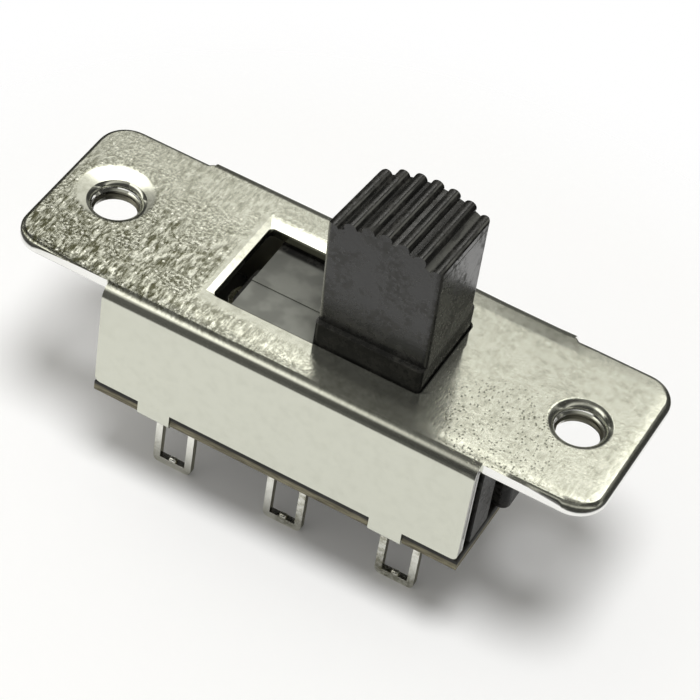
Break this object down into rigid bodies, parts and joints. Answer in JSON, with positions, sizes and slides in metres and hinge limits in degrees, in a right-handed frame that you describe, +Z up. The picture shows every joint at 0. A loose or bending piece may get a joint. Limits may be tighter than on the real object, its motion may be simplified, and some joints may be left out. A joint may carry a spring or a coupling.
{
  "type": "slide switch",
  "caption": "Panel-mount slide switch with a ridged black knob in a folded steel frame, tapped mounting ears and solder lugs under a laminate board.",
  "frame": {"origin": "on the floor under the middle of the switch, level with the tips of the solder lugs", "axes": "+X along the slide towards the end where the knob rests, +Y from the front row of lugs to the rear row, +Z up out of the panel"},
  "size_m": [0.0356, 0.0124, 0.0232],
  "materials": {
    "plated_steel": "satin plated sheet steel with a fine grain",
    "black_plastic": "glossy black moulded plastic",
    "laminate": "olive-brown paper laminate",
    "tinned_terminal": "bright tinned brass",
    "contact_alloy": "bare contact alloy",
    "spring_steel": "drawn spring wire"
  },
  "bodies": {
    "base": {"frame": "plated_steel", "terminal_board": "laminate", "terminal_front_left": "tinned_terminal", "terminal_front_centre": "tinned_terminal", "terminal_front_right": "tinned_terminal", "terminal_rear_left": "tinned_terminal", "terminal_rear_centre": "tinned_terminal", "terminal_rear_right": "tinned_terminal"},
    "slide": {"slider": "black_plastic", "contact_bridge_front": "contact_alloy", "contact_bridge_rear": "contact_alloy", "contact_spring_front": "spring_steel", "contact_spring_rear": "spring_steel"}
  },
  "joints": [
    {"name": "knob_slide", "type": "slide", "parent": "base", "child": "slide", "axis": [1, 0, 0], "range_m": [-0.006, 0]}
  ]
}
